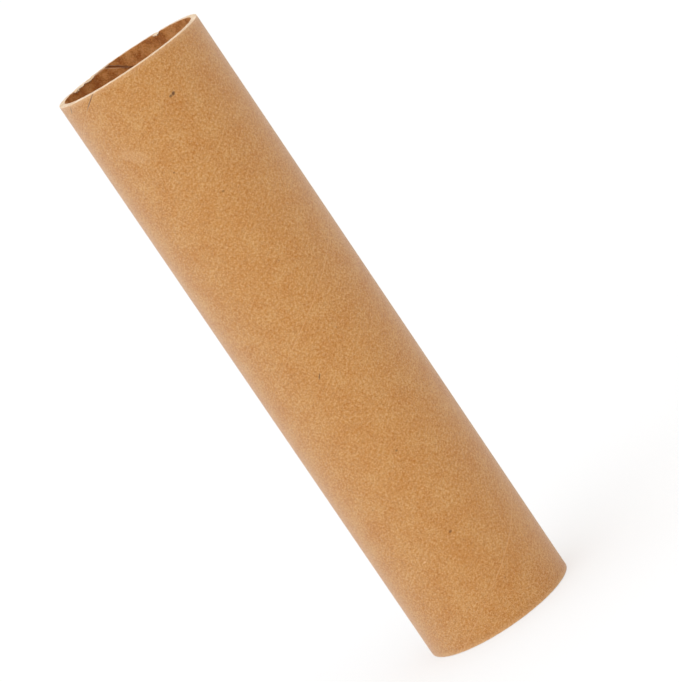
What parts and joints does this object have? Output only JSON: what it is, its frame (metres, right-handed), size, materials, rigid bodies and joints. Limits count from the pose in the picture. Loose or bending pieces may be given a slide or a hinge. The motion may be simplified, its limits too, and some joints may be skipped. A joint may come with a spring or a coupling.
{
  "type": "cardboard tube",
  "caption": "Open-ended spiral-wound kraft cardboard tube that holds or ships rolled sheets, or serves as the core that material is wound on.",
  "frame": {"origin": "centre of the lower end, on the surface that the tube stands on", "axes": "+Z along the tube's axis, from the end that it stands on to the open upper end, and -Y towards the side that the picture shows"},
  "size_m": [0.049, 0.049, 0.2025],
  "materials": {
    "kraft_board": "matt brown kraft paper with fine fibres"
  },
  "bodies": {
    "root": {"tube": "kraft_board"}
  },
  "joints": []
}
